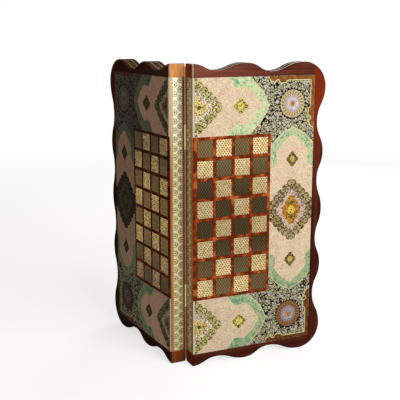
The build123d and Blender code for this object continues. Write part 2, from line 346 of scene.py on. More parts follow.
class Finish:
    """One material with its surface shader ready."""

    def __init__(self, name, roughness, metallic=0.0, specular=0.5):
        self.material = bpy.data.materials.new(name)
        self.material.use_nodes = True
        self.tree = self.material.node_tree
        self.surface = self.tree.nodes["Principled BSDF"]
        self.surface.inputs["Roughness"].default_value = roughness
        self.surface.inputs["Metallic"].default_value = metallic
        self.surface.inputs["Specular IOR Level"].default_value = specular

    def colour(self, value):
        plug(self.tree, value, self.surface.inputs["Base Color"])
        return self

    def metal(self, share):
        """Brass let into the marquetry."""
        plug(self.tree, share, self.surface.inputs["Metallic"])
        return self

    def gloss(self, specular, roughness):
        """Shine that changes over the surface."""
        plug(self.tree, specular, self.surface.inputs["Specular IOR Level"])
        plug(self.tree, roughness, self.surface.inputs["Roughness"])
        return self

    def bump(self, height, depth):
        """Surface relief: height from 0 to 1, full depth in metres."""
        node = self.tree.nodes.new("ShaderNodeBump")
        node.inputs["Strength"].default_value = 1.0
        node.inputs["Distance"].default_value = depth
        plug(self.tree, height, node.inputs["Height"])
        self.tree.links.new(node.outputs[0], self.surface.inputs["Normal"])
        return self

    def place(self, side=None):
        """Place on the object in millimetres: of the whole case, or of one tray."""
        tree = self.tree
        coordinates = tree.nodes.new("ShaderNodeTexCoord")
        mapping = tree.nodes.new("ShaderNodeMapping")
        tree.links.new(coordinates.outputs["Object"], mapping.inputs["Vector"])
        if side is None:
            mapping.inputs["Scale"].default_value = (1 / MM,) * 3
            return Value(tree, mapping.outputs[0])
        back = tray_space(side).inverted()
        turn = back.to_3x3() * MM
        flip = 1.0 if turn.determinant() > 0 else -1.0
        scale = Matrix.Diagonal((1.0, 1.0, flip))
        mapping.inputs["Location"].default_value = back.translation
        mapping.inputs["Rotation"].default_value = (turn @ scale).to_euler("XYZ")
        mapping.inputs["Scale"].default_value = (1 / MM, 1 / MM, flip / MM)
        return Value(tree, mapping.outputs[0])

    def pattern(self):
        """Place on a repeated shape, from its own middle."""
        node = self.tree.nodes.new("ShaderNodeUVMap")
        node.uv_map = "pattern"
        return Value(self.tree, node.outputs[0])


def faced(side, name, roughness=0.4, specular=0.004):
    """A finish for one tray's flat faces, with the places along it, up it and both joined."""
    made = Finish(f"{side}_{name}", roughness, specular=specular)
    along, up = made.place(side).parts()[:2]
    return made, along, up, joined(along, up)


def tray_space(side):
    """Takes a tray's own millimetres to the shared frame."""
    along, out = Vector((1, 0, 0)), Vector((0, -1, 0))
    if side == "left":
        along = Vector((math.cos(OPENING), math.sin(OPENING), 0))
        out = Vector((-math.sin(OPENING), math.cos(OPENING), 0))
    space = Matrix((along, Vector((0, 0, 1)), out)).transposed().to_4x4() @ Matrix.Scale(MM, 4)
    space.translation = HINGE
    return space


FINISHES = {}


def finish(maker, *details):
    """A finish, made once for each use of the same details."""
    key = (maker.__name__, *details)
    if key not in FINISHES:
        FINISHES[key] = maker(*details).material
    return FINISHES[key]


def dress(node, material):
    """Gives a CAD node its finish."""
    NODES[node].data.materials.clear()
    NODES[node].data.materials.append(material)


# Finishes of wood

def frame_wood(side, member):
    """Mahogany of the stiles and rails, with painted light: the stile lighter towards its top, a painted
    sheen and highlight on the top rail by the hinge, and painted shade greying the left tray's frame.
    """
    upright = member == "stile"
    dark, bright = tuple(settings().frame_colour), tuple(settings().frame_glow)
    made = Finish(f"{side}_{member}_mahogany", 0.3, specular=0.0)
    along, up, out = made.place(side).parts()
    if upright:
        grain = joined(along * 0.45, up * 0.016, out * 0.45)
    else:
        grain = joined(along * 0.016, up * 0.45, out * 0.45)
    bands = noise(grain, 3.2, 3.0, 0.6).step(0.3, 0.72)
    pores = noise(grain, 0.4, 2.0, 0.7)
    patches = noise(joined(along, up), 22.0, 2.0)
    colour = blend(bands, dark, bright)
    if upright:
        # Painted light: the stile is lighter towards its top
        colour = blend(up.step(60.0, 190.0) * 0.8, colour, light(136, 48, 18))
    elif member == "top_rail":
        # Painted sheen on the top rail, strongest near the hinge
        painted_sheen = along.step(160.0, 10.0) * 0.6 + 0.2
        colour = blend(painted_sheen * (bands * 0.5 + 0.6), colour, light(150, 86, 68))
        # Painted highlight along the rail's rounded edge by the hinge
        colour = blend(along.below(2.6) * 0.8, colour, light(240, 218, 200))
        # Orange end grain at the hinge wall; the left tray's is lighter, partly a painted highlight
        end_grain_and_highlight = light(226, 158, 90) if side == "left" else light(178, 98, 50)
        colour = blend(along.below(1.0), colour, end_grain_and_highlight)
    else:
        colour = blend(along.below(1.0), colour, light(136, 68, 36))
    # Painted shade: the left tray's frame is greyed, its stile most towards the foot
    if side == "left":
        left_shade_share = up.step(20.0, -200.0) * (0.4 if upright else 0.0) + 0.4
        colour = blend(along.above(1.0) * left_shade_share, colour, light(68, 56, 50))
    streak = noise(joined(out * 0.7, up * 0.06, along * 0.3), 1.6, 3.0, 0.6)
    colour = shaded(colour, along.below(1.0) * (streak.step(0.3, 0.7) * 0.5 - 0.25) + 1.0)
    colour = shaded(colour, patches * 0.5 + 0.75)
    colour = shaded(colour, pores * 0.8 + 0.6)
    return made.colour(colour)


def wall_wood(side):
    """Red-brown wood of the hinge walls."""
    made = Finish(f"{side}_wall_wood", 0.22, specular=0.12)
    along, up, out = made.place(side).parts()
    grain = joined(along * 0.5, up * 0.05, out * 0.5)
    bands = noise(grain, 2.5, 3.0, 0.6)
    colour = blend(bands.step(0.3, 0.7), light(118, 62, 34), light(156, 92, 54))
    colour = shaded(colour, noise(grain, 0.4) * 0.8 + 0.6)
    return made.colour(colour)


def board_edge(side):
    """Orange-brown wood of the base board, with a painted highlight that makes it paler towards its top."""
    made = Finish(f"{side}_board_wood", 0.25, specular=0.12)
    along, up, out = made.place(side).parts()
    grain = joined(along * 0.3, up * 0.02, out * 0.5)
    bands = noise(grain, 2.5, 3.0, 0.6)
    colour = blend(bands.step(0.3, 0.7), light(150, 88, 46), light(196, 134, 82))
    # Painted highlight: paler towards the top
    colour = blend(up.step(20.0, 230.0) * 0.85, colour, light(240, 208, 164))
    colour = shaded(colour, noise(grain, 0.5) * 0.6 + 0.7)
    return made.colour(colour)


def bead_wood():
    """Pinkish wood of the bead between the hinge walls, with a painted highlight that makes it paler towards
    its top.
    """
    made = Finish("bead_wood", 0.4, specular=0.05)
    along, up, out = made.place("right").parts()
    streak = noise(joined(along, up * 0.05, out), 1.2, 3.0, 0.6)
    colour = blend(streak.step(0.3, 0.7), light(220, 152, 122), light(246, 184, 150))
    # Painted highlight: paler towards the top
    return made.colour(blend(up.step(0.0, 220.0) * 0.6, colour, light(255, 226, 200)))


def line_wood(side):
    """Red wood of the lattice between the squares, each stretch cut from another piece; the left tray's is in
    painted shade.
    """
    made = Finish(f"{side}_line_wood", 0.35, specular=0.004)
    place = made.place(side)
    up = place.parts()[1]
    piece = noise(place, 13.0, 1.0)
    streak = noise(place, 2.4, 3.0, 0.7)
    fine = noise(place, 0.8, 2.0, 0.7)
    red = tuple(settings().line_colour)
    colour = blend(piece.step(0.38, 0.62), light(112, 40, 16), red)
    colour = blend(piece.step(0.54, 0.7) * 0.7, colour, light(206, 112, 56))
    colour = blend(streak.step(0.56, 0.7) * 0.5, colour, light(74, 26, 14))
    colour = shaded(colour, fine * 0.8 + 0.6)
    # Painted shade on the left tray, darker towards its top
    if side == "left":
        colour = shaded(colour, blend(up.step(-40.0, 110.0), (0.66, 0.66, 0.56), (0.4, 0.34, 0.3)))
    return made.colour(colour)


# Finishes of marquetry

# Pale ground, deep ground, specks and net of the strips, on each tray
STRIP_TONES = {
    "right": ((255, 222, 156), (192, 154, 94), (124, 96, 50), (255, 240, 200)),
    "left": ((200, 190, 136), (166, 156, 92), (120, 112, 58), (236, 228, 184)),
}


def hinge_strip(side):
    """Two staggered rows of ringed rounds in a net of pale crossing lines; the left strip has a painted
    highlight towards its top.
    """
    shine, ring_share, brass_share = (0.06, 1.0, 0.7) if side == "right" else (0.4, 0.5, 0.4)
    made = Finish(f"{side}_flower_strip", 0.24, specular=shine)
    up, out = made.place(side).parts()[1:]
    middle = (STRIP_LOW + STRIP_HIGH) / 2
    pitch, row = 14.45, 4.9
    rounds = []
    for shift, level in ((0.0, middle + row), (pitch / 2, middle - row)):
        rounds.append(((up + shift).wrap(pitch), out - level))
    near = [distance(x, y) for x, y in rounds]
    next_one = [distance(-x.size() + pitch, y) for x, y in rounds]
    nearest = near[0].least(near[1])
    second = near[0].most(near[1]).least(next_one[0]).least(next_one[1])
    flat = joined(up, out)
    speck, tint = chips(flat, 1.3)
    patch = noise(flat, 9.0, 2.0).step(0.4, 0.62)
    pale, deep, dark, cream = (light(*tone) for tone in STRIP_TONES[side])
    ground = blend(speck.below(0.3), blend(patch, pale, deep), dark)
    # Painted highlight: the left strip is paler towards its top
    if side == "left":
        cream = blend(up.step(60.0, 190.0), cream, light(255, 255, 236))
        ground = blend(up.step(60.0, 190.0) * 0.55, ground, light(222, 226, 190))
    colour = blend((nearest - 4.2).size().below(0.5) * ring_share, ground, light(96, 92, 44))
    colour = blend((nearest - 5.5).size().below(0.7) * ring_share, colour, cream)
    colour = blend((second - nearest).below(2.8), colour, cream)
    colour = blend((nearest - 2.6).size().below(0.5) * 0.8 * ring_share, colour, cream)
    colour = blend(nearest.below(1.3), colour, light(88, 78, 42))
    from_edge = -(out - middle).size() + (STRIP_HIGH - STRIP_LOW) / 2
    dots = up.wrap(3.6).size()
    colour = blend(from_edge.below(1.7), colour, light(214, 186, 120))
    colour = blend(from_edge.below(1.7) * dots.below(0.85), colour, light(96, 56, 28))
    gold = speck.above(0.36) * tint.parts()[0].above(0.5) * brass_share
    return made.colour(blend(gold * 0.7, colour, light(232, 206, 140))).metal(gold)


def edge_band(side, upright):
    """Fine brown marquetry in the wavy edges, between dark lines; its borders carry painted light, pale on
    the right tray and dark on the left.
    """
    made = Finish(f"{side}_{'free' if upright else 'end'}_edge_band", 0.4, specular=0.0)
    along, up, out = made.place(side).parts()
    run = up if upright else along
    middle = (BAND_LOW + STRIP_HIGH) / 2
    side_way = (out - middle).size()
    star = distance(run.wrap(5.2), out - middle)
    speck = chips(joined(run, out), 1.1)[0]
    colour = blend(speck.step(0.2, 0.8), light(112, 80, 48), light(66, 38, 22))
    colour = blend(star.below(2.2), colour, light(50, 40, 22))
    colour = blend(star.below(1.1), colour, light(160, 130, 84))
    colour = blend(side_way.above(3.4), colour, light(42, 20, 12))
    border = side_way.above(4.0)
    # Borders: on the right tray the wood's own cream with a painted highlight, on the left tray dark as
    # painted shade
    if side == "right":
        pale = blend(speck.step(0.2, 0.8), light(232, 214, 190), light(186, 160, 134))
        colour = blend(border, colour, pale)
        shine = 0.2
    else:
        colour = blend(border, colour, light(110, 84, 46))
        shine = 0.07
    made.gloss(border * side_way.below(7.6) * shine, 0.4)
    colour = blend(side_way.above(7.6), colour, light(40, 18, 10))
    return made.colour(colour)


def painted_light_by_height(up, side, low, high):
    """Painted light and shade of the squares by height: the right ones are darkest half-way up, the left ones
    brightest there.
    """
    middle = up.size().step(122.0, 26.0)
    if side == "left":
        return middle * (high - low) + low
    return -middle * (high - low) + high


def star_rows(along, up, row):
    """Places from the nearest star of two staggered rows."""
    first = SQUARE_START + (LINE + STAR_PITCH) / 2
    places = []
    for shift in (0.0, 0.5):
        x = (along - (first + STAR_PITCH * shift)).wrap(STAR_PITCH)
        places.append((x, (up - row * 2 * shift).wrap(row * 2)))
    return places


# Pale ground, deep ground, brass, and edge and heart of the stars of the light squares; the left tray's are
# more golden, as painted light, with darker stars as painted shade
LIGHT_SQUARE_TONES = {
    "right": ((255, 240, 192), (250, 226, 168), (240, 204, 128), (154, 122, 76), (84, 66, 36)),
    "left": ((255, 238, 170), (255, 224, 140), (250, 196, 96), (84, 62, 26), (50, 40, 20)),
}


def light_square(side):
    """Cream marquetry of tiny dark stars in staggered rows, with red points between them."""
    # Per tray: how much brass, and the bounds of the painted light by height; the left tray's extra brass
    # stands in for reflected light
    least_brass, low, high = (0.7, 0.62, 0.88) if side == "right" else (0.45, 0.5, 0.97)
    pale, deep, golden, star_edge, star_heart = (light(*tone) for tone in LIGHT_SQUARE_TONES[side])
    made, along, up, flat = faced(side, "light_square", 0.3, 0.02)
    drift = noise(flat, 5.0, 1.0) * 2.0
    near = [distance(x, y) for x, y in star_rows(along + drift, up - drift, 3.3)]
    star = near[0].least(near[1])
    pick = chips(flat, 1.9)[1].parts()
    colour = blend(noise(flat, 9.0).step(0.3, 0.7), pale, deep)
    colour = shaded(colour, cell_shade(along, up, 0.16))
    colour = blend(pick[1].above(0.86) * 0.7, colour, light(222, 140, 86))
    colour = blend(pick[2].above(0.86) * 0.7, colour, light(176, 172, 96))
    gold = pick[0].above(least_brass) * star.above(1.2) * 0.7
    colour = blend(gold, colour, golden)
    # Painted light and shade by height
    colour = shaded(colour, painted_light_by_height(up, side, low, high))
    colour = blend(star.below(1.16), colour, star_edge)
    colour = blend(star.below(0.66), colour, star_heart)
    return made.colour(framed(colour, along, up, light(120, 62, 28))).metal(gold)


def dark_square(side):
    """Dark marquetry of tiny pale chevrons in staggered rows, on a green and red-brown ground."""
    made, along, up, flat = faced(side, "dark_square", 0.34, 0.02)
    near = [x.size() + y.size() * 0.35 for x, y in star_rows(along, up, 3.6)]
    chevron = near[0].least(near[1])
    tone = noise(flat, 7.0, 2.0)
    # The left tray's ground is lighter and more golden, as painted light
    if side == "right":
        colour = blend(tone.step(0.4, 0.6), light(94, 68, 46), light(78, 76, 46))
    else:
        colour = blend(tone.step(0.4, 0.6), light(138, 102, 50), light(112, 96, 42))
    colour = shaded(colour, cell_shade(along, up, 0.4))
    # Painted light and shade by height
    colour = shaded(colour, painted_light_by_height(up, side, 0.56, 1.4))
    gold = chevron.below(0.8) * (0.35 if side == "right" else 0.5)
    colour = blend(chevron.below(0.8) * 0.75, colour, shaded(colour, (2.6, 2.6, 2.6)))
    colour = blend(chevron.above(1.7), colour, light(26, 20, 12))
    return made.colour(framed(colour, along, up, light(40, 22, 12))).metal(gold)


def cell_shade(along, up, spread):
    """A light or dark share of its own for every square."""
    column = ((along - SQUARE_START) / PITCH).math("FLOOR")
    row = (up / PITCH).math("FLOOR")
    node = along.tree.nodes.new("ShaderNodeTexWhiteNoise")
    plug(along.tree, joined(column, row, 0.5), node.inputs["Vector"])
    return Value(along.tree, node.outputs["Value"]) * spread + (1 - spread / 2)


def framed(colour, along, up, dark):
    """Adds the thin dark line round each square."""
    half = (PITCH - LINE) / 2
    x = (along - (SQUARE_START + half)).wrap(PITCH).size()
    y = (up - PITCH / 2).wrap(PITCH).size()
    return blend(x.most(y).above(half - 0.45), colour, dark)


# Finishes of the painted panel

def corner_field(side):
    """Near-black ground crowded with pale scrolls and leaves, in painted shade on the left tray, with painted
    highlights along the rounded hinge edge.
    """
    made, along, up, flat = faced(side, "corner_field")
    drift = noise(flat, 5.0, 2.0)
    bent = joined(along + drift * 6.0, up - drift * 5.0)
    leaf, tint = chips(bent, 5.0)
    picks = tint.parts()
    rib = chips(bent, 5.0, "DISTANCE_TO_EDGE")
    curl = chips(bent, 2.2)[0]
    scroll = tuple(settings().scroll_colour)
    pale = blend(picks[0], scroll, light(178, 170, 136))
    pale = blend(picks[1].above(0.7) * 0.7, pale, light(206, 190, 182))
    pale = blend(picks[1].below(0.25) * 0.6, pale, light(162, 168, 116))
    colour = blend(curl.below(0.26), pale, light(74, 70, 50))
    colour = blend(leaf.below(0.22), colour, light(216, 208, 172))
    colour = blend(leaf.below(0.09), colour, light(92, 84, 58))
    colour = blend(rib.below(0.07), colour, light(24, 23, 16))
    colour = blend(picks[2].above(0.93) * leaf.above(0.34), colour, light(30, 29, 20))
    # Painted shade on the left tray, darker towards its top
    colour = left_shaded(colour, side, up)
    # Painted highlight on the rounded hinge edge, brightest at its very edge
    rounded = along.below(EDGE_START + 0.3)
    made.gloss(rounded * 0.8 + 0.004, -rounded * 0.22 + 0.4)
    colour = blend(rounded, colour, light(228, 208, 174))
    return made.colour(blend(along.below(2.6), colour, light(252, 240, 222)))


def mint_border(side):
    """Pale green of the cartouche borders, with deeper patches and fine leaves, darker towards the bottom as
    painted shade, and in painted shade on the left tray.
    """
    made, along, up, flat = faced(side, "mint_border")
    patch = noise(flat, 8.0, 3.0, 0.6)
    leaves, tint = chips(flat, 3.4)
    picks = tint.parts()
    sprig = noise(flat, 1.8, 3.0, 0.65)
    low = up.step(60.0, -200.0) * 0.1
    drop = along.step(104.0, 74.0) * along.below(118.0) * 0.14
    mint, teal = tuple(settings().mint_colour), tuple(settings().teal_colour)
    share = (patch + low + drop + picks[0] * 0.18).step(0.58, 0.9)
    colour = blend(share, mint, teal)
    colour = blend(leaves.below(0.44) * picks[1].above(0.45) * 0.75, colour, light(240, 232, 170))
    colour = blend(leaves.below(0.4) * picks[1].below(0.35) * 0.75, colour, light(96, 150, 106))
    colour = blend(sprig.step(0.43, 0.36) * 0.7, colour, light(86, 136, 104))
    # Painted shade: darker towards the bottom
    colour = shaded(colour, up.step(120.0, -230.0) * -0.26 + 1.0)
    colour = shaded(colour, along.step(138.0, 150.0) * -0.16 + 1.0)
    # Painted shade on the left tray
    return made.colour(left_shaded(colour, side, up))


def blush_field(side):
    """Pinkish cream field of the cartouches, with scattered tiny sprigs, and painted light and shade on the
    left tray.
    """
    made, _, up, flat = faced(side, "blush_field")
    patch = noise(flat, 16.0, 2.0)
    vines = noise(flat, 2.6, 3.0, 0.6)
    dots, tint = chips(flat, 2.3)
    picks = tint.parts()
    blush = tuple(settings().blush_colour)
    colour = blend(patch.step(0.4, 0.65), blush, light(240, 208, 182))
    colour = blend((vines - 0.5).size().below(0.04) * 0.6, colour, light(196, 166, 128))
    colour = shaded(colour, noise(flat, 1.7, 2.0, 0.6) * 0.5 + 0.77)
    colour = blend(dots.below(0.3) * picks[1].above(0.6) * 0.75, colour, light(208, 140, 118))
    colour = blend(dots.below(0.28) * picks[1].below(0.26) * 0.8, colour, light(120, 104, 74))
    colour = blend(dots.below(0.3) * picks[2].above(0.8) * 0.7, colour, light(154, 168, 116))
    # Painted light and shade on the left tray: pinker and darker in the middle, lighter towards its top and
    # foot
    if side == "left":
        left_light_and_shade = blend(up.size().step(90.0, 170.0), light(250, 230, 222), (1.3, 1.08, 1.05))
        colour = shaded(colour, left_light_and_shade)
    return made.colour(colour)


def pale_line(side):
    """Pale yellow of the outlines, in painted shade on the left tray."""
    made = Finish(f"{side}_pale_line", 0.4, specular=0.004)
    place = made.place(side)
    up = place.parts()[1]
    colour = blend(noise(place, 3.0).step(0.3, 0.7), light(240, 230, 170), light(214, 204, 136))
    # Painted shade on the left tray, darker towards its top
    return made.colour(left_shaded(colour, side, up))


def gold_border(side):
    """Brown-gold of the corner borders, darker towards the bottom as painted shade, and on the left tray
    greyer, bluer and darker towards its top as painted shade.
    """
    made = Finish(f"{side}_gold_border", 0.35, specular=0.004)
    place = made.place(side)
    up = place.parts()[1]
    patch = noise(place, 7.0, 3.0, 0.6)
    fine = noise(place, 1.0, 2.0, 0.7)
    colour = blend(patch.step(0.35, 0.7), light(120, 72, 34), light(170, 114, 58))
    # Painted shade: darker towards the bottom
    colour = shaded(colour, up.step(120.0, -230.0) * -0.45 + 1.0)
    colour = shaded(colour, fine * 0.7 + 0.62)
    # Painted shade on the left tray: greyer and bluer, and darker towards its top
    if side == "left":
        colour = shaded(colour, (1.3, 1.85, 2.5))
    return made.colour(left_shaded(colour, side, up))


def speckled(name, dark, bright, size=1.6, level=0.5):
    """Paint of two tones in fine high-contrast specks."""
    made = Finish(name, 0.4, specular=0.004)
    place = made.place()
    fine = noise(place, size, 3.0, 0.6)
    specks, tint = chips(place, size * 1.3)
    darker = light(*[part * 0.5 for part in dark])
    colour = blend(fine.step(level - 0.04, level + 0.04), light(*dark), light(*bright))
    colour = blend(specks.below(0.3) * tint.parts()[0].above(0.6), colour, darker)
    return made.colour(colour)


def flower(name, rim, petal, other, middle, heart, petals=6):
    """A round flower on its own pattern map: petals of two tones, a middle ring and a heart."""
    made = Finish(name, 0.4, specular=0.004)
    x, y = made.pattern().parts()[:2]
    place = made.place()
    radius = distance(x, y)
    turn = y.math("ARCTAN2", x)
    lobe = (turn * (petals / 2)).math("COSINE").size() * 0.16 + 0.82
    tone = noise(place, 13.0, 1.0)
    petal_tones = blend(tone.step(0.46, 0.54), light(*petal), light(*other))
    colour = blend(radius.below(lobe), light(*rim), petal_tones)
    vein = (turn * petals).math("SINE").size().below(0.25) * radius.above(0.4)
    colour = blend(vein * radius.below(lobe) * 0.5, colour, light(*rim))
    colour = blend((radius - 0.46).size().below(0.05), colour, light(*rim))
    colour = blend(radius.below(0.42), colour, light(*middle))
    specks, tint = chips(place, 3.4)
    worn = specks.below(0.42) * tint.parts()[0].above(0.5) * radius.above(0.2) * 0.9
    colour = blend(worn, colour, light(*rim))
    colour = blend(radius.below(0.24), colour, light(*heart))
    return made.colour(colour)


def rosette_ring(name, pale, deep, inner):
    """A broad ring of many slanted narrow petals, crossed by fine rings."""
    made = Finish(name, 0.4, specular=0.004)
    x, y = made.pattern().parts()[:2]
    radius = distance(x, y)
    turn = y.math("ARCTAN2", x)
    petals = (turn * 22.0 + radius * 7.0).math("SINE")
    rings = (radius * 34.0).math("SINE")
    colour = blend(petals.above(0.0), light(*pale), light(*deep))
    colour = blend((petals * rings).below(-0.45) * 0.7, colour, light(*pale))
    colour = blend((petals * rings).above(0.5) * 0.7, colour, light(*[part * 0.65 for part in deep]))
    colour = blend((radius - 0.97).size().below(0.05) * 0.5, colour, light(*pale))
    colour = blend(radius.below(0.62), colour, light(*inner))
    colour = blend(radius.below(0.62) * petals.above(0.3) * 0.6, colour, light(*deep))
    return made.colour(colour)


def brass():
    """Pale polished brass of hinges, screws and hooks."""
    made = Finish("pale_brass", 0.28, metallic=1.0)
    place = made.place()
    along, up, out = place.parts()
    wear = noise(place, 2.0, 3.0, 0.6)
    scratch = noise(joined(along * 2.0, up * 2.0, out * 0.2), 0.6)
    colour = blend(wear.step(0.3, 0.75), light(222, 206, 172), light(186, 162, 122))
    return made.colour(colour).bump(scratch, 0.02 * MM)


# Finishes of the playing field inside

ROOT_THREE = 1.732


def field_ground(side):
    """Walnut burl of the playing field."""
    made, along, up = faced(side, "field_ground", 0.3, 0.12)[:3]
    swirl = noise(joined(along, up * 0.35), 26.0, 3.0, 0.6)
    figure = noise(joined(along * 0.9 + swirl * 60.0, up * 0.05), 3.4, 3.0, 0.6)
    pores = noise(joined(along, up * 0.08), 0.5)
    colour = blend(figure.step(0.3, 0.7), light(96, 54, 28), light(150, 92, 50))
    return made.colour(shaded(colour, pores * 0.5 + 0.75))


def star_net(along, up, pitch):
    """Distance from the nearest star of a six-sided net."""
    rise = pitch * ROOT_THREE
    stars = []
    for shift in (0.0, 0.5):
        stars.append(distance((along + pitch * shift).wrap(pitch), (up + rise * shift).wrap(rise)))
    return stars[0].least(stars[1])


def point_marquetry(side, dark, bright, name):
    """Long backgammon points: fine stars on a plain ground."""
    made, along, up, flat = faced(side, name, 0.35, 0.1)
    star = star_net(along, up, 3.2)
    tone = noise(flat, 10.0)
    colour = blend(tone.step(0.3, 0.7), light(*bright), light(*dark))
    colour = blend(star.below(1.0), colour, light(*dark))
    colour = blend(star.below(0.45), colour, light(*bright))
    return made.colour(colour)


def field_strip(side):
    """Border and star of the playing field in tiny six-sided stars."""
    made, along, up, flat = faced(side, "field_strip", 0.35, 0.1)
    star = star_net(along, up, 4.0)
    speck = chips(flat, 0.9)[0]
    colour = blend(speck.step(0.2, 0.8), light(216, 200, 150), light(160, 128, 72))
    colour = blend(star.below(1.5), colour, light(70, 92, 58))
    colour = blend(star.below(0.9), colour, light(228, 216, 176))
    colour = blend(star.below(0.4), colour, light(150, 52, 30))
    return made.colour(colour)


# Outlines, in millimetres

def arc(start, end, bulge, steps=5):
    """Points from start to just before end; bulge is their rise to the left, as a share of the length."""
    start, end = Vector(start), Vector(end)
    chord = end - start
    left = Vector((-chord.y, chord.x))
    points = []
    for i in range(steps):
        rise = 4 * bulge * i * (steps - i) / steps ** 2
        points.append(start + chord * (i / steps) + left * rise)
    return points


def curve(*stops):
    """Points through stops of (x, y, bulge of the run that follows)."""
    points = []
    for a, b in zip(stops, stops[1:]):
        points += arc(a[:2], b[:2], a[2])
    return points + [Vector(stops[-1][:2])]


def both_sides(half):
    """A half outline that ends on the axis, with its mirror image after it."""
    return half + [Vector((p.x, -p.y)) for p in reversed(half[:-1])]


def cartouche_edge(tip):
    """Outer edge of a cartouche's end, from its side to its tip and back."""
    return both_sides(curve(
        (tip - 36.1, CARTOUCHE_HALF, 0.0), (tip - 22.8, 32.8, 0.04), (tip - 10.6, 19.4, 0.04),
        (tip - 4.4, 7.1, -0.04), (tip, 0, 0),
    ))


def cartouche_field(tip):
    """Edge of the field inside a cartouche's end: a drop, a cusp, lobes and a tip."""
    return both_sides(curve(
        (tip - 74.0, CARTOUCHE_HALF, -0.03), (tip - 61.7, 29.6, -0.1), (tip - 43.4, 31.1, 0.05),
        (tip - 32.0, 21.8, 0.12), (tip - 22.0, 9.6, 0.12), (tip - 15.0, 0, 0),
    ))


def ribbon(line, width):
    """Closed outline of a line of the given width."""
    left, right = [], []
    for i, point in enumerate(line):
        before = line[max(i - 1, 0)]
        after = line[min(i + 1, len(line) - 1)]
        ahead = (after - before).normalized()
        aside = Vector((-ahead.y, ahead.x)) * width / 2
        left.append(point + aside)
        right.append(point - aside)
    return left + right[::-1]


def diamond(length, width):
    """Corners of a diamond, given its half length along the axis and its half width."""
    return [Vector((length, 0)), Vector((0, width)), Vector((-length, 0)), Vector((0, -width))]


def quarters(start, end, count, swell):
    """Places on a line and its three mirror images, so many gaps on each; swell bends them outwards."""
    places = {}
    for x, y in arc(start, end, swell, count) + [Vector(end)]:
        for x_way, y_way in ((1, 1), (-1, 1), (1, -1), (-1, -1)):
            places[round(x * x_way, 3), round(y * y_way, 3)] = None
    return list(places)


def lobed(corners, count, bulge=0.26, swell=0.0):
    """A closed outline with rows of lobes for its sides; swell is how far each side stands out."""
    places = []
    for a, b in zip(corners, corners[1:] + corners[:1]):
        places += arc(a, b, -swell, count)
    points = []
    for a, b in zip(places, places[1:] + places[:1]):
        points += arc(a, b, -bulge)
    return points


def ring(radius, count, start=0.0):
    """Places round a circle, from the angle start."""
    angles = [start + i * math.tau / count for i in range(count)]
    return [Vector((math.cos(angle), math.sin(angle))) * radius for angle in angles]


# Thin closed layers on a tray

def extrude(mesh, faces, way):
    """Makes a solid of flat faces, as long as the way given, and gives back its far corners."""
    grown = bmesh.ops.extrude_face_region(mesh, geom=faces)["geom"]
    tops = [item for item in grown if isinstance(item, bmesh.types.BMVert)]
    bmesh.ops.translate(mesh, verts=tops, vec=way)
    return tops


class Layers:
    """Flat closed pieces of one finish on one tray's face, gathered into one object."""

    def __init__(self, side, level=1, turn=Matrix.Identity(3)):
        self.side = side
        self.low = FACE - PAINT_ROOT
        self.high = FACE + level * settings().relief / MM
        self.mesh = bmesh.new()
        self.map = self.mesh.loops.layers.uv.new("pattern")
        self.turn = turn

    def spot(self, x, y):
        """A pattern's own place on the tray."""
        return self.turn @ Vector((x, y, 1.0))

    def raise_faces(self, faces, centre, unit):
        """Gives new flat faces their height and maps them about a centre."""
        tops = extrude(self.mesh, faces, (0, 0, self.high - self.low))
        for face in {face for vert in tops for face in vert.link_faces} | set(faces):
            for loop in face.loops:
                loop[self.map].uv = (loop.vert.co.xy - centre) / unit

    def plate(self, outline):
        """A flat piece with any outline."""
        places = [self.spot(*point) for point in outline]
        verts = [self.mesh.verts.new((place.x, place.y, self.low)) for place in places]
        edges = [self.mesh.edges.new(pair) for pair in zip(verts, verts[1:] + verts[:1])]
        filled = bmesh.ops.triangle_fill(self.mesh, use_beauty=True, edges=edges)["geom"]
        faces = [item for item in filled if isinstance(item, bmesh.types.BMFace)]
        self.raise_faces(faces, self.spot(0.0, 0.0).xy, 1.0)

    def disc(self, place, radius, corners=14, points=0.0):
        """A round flat piece; points draws every second corner in, by that share."""
        middle = self.spot(*place)
        made = bmesh.ops.create_circle(
            self.mesh, cap_ends=True, segments=corners, radius=radius,
            matrix=Matrix.Translation((middle.x, middle.y, self.low)),
        )["verts"]
        if points:
            for vert in made[::2]:
                vert.co.xy = middle.xy.lerp(vert.co.xy, 1 - points)
        faces = list({face for vert in made for face in vert.link_faces})
        self.raise_faces(faces, middle.xy, radius)

    def cut(self, place, outward):
        """Takes off what lies beyond a straight edge, and closes the cut."""
        geometry = self.mesh.verts[:] + self.mesh.edges[:] + self.mesh.faces[:]
        made = bmesh.ops.bisect_plane(
            self.mesh, geom=geometry, plane_co=place, plane_no=outward, clear_outer=True, dist=1e-5,
        )["geom_cut"]
        edges = [item for item in made if isinstance(item, bmesh.types.BMEdge)]
        if edges:
            bmesh.ops.holes_fill(self.mesh, edges=edges, sides=0)

    def trim(self, along, up):
        """Keeps what lies between two ends along the tray and two ends up it."""
        self.cut((along[0], 0, 0), (-1, 0, 0))
        self.cut((along[1], 0, 0), (1, 0, 0))
        self.cut((0, up[0], 0), (0, -1, 0))
        self.cut((0, up[1], 0), (0, 1, 0))

    def finish(self, name, material):
        """Stands the layers on the tray as one object."""
        stand(self.mesh, self.side, name, material)


def add_object(name, data):
    """Puts a mesh, a lamp or a camera in the scene."""
    made = bpy.data.objects.new(name, data)
    bpy.context.scene.collection.objects.link(made)
    return made


def set_in_order(mesh):
    """Puts the faces in one fixed order, because extruding gives them a new order each run."""
    mesh.verts.index_update()
    faces = sorted(mesh.faces, key=lambda face: sorted(vert.index for vert in face.verts))
    for index, face in enumerate(faces):
        face.index = index
    mesh.faces.sort()


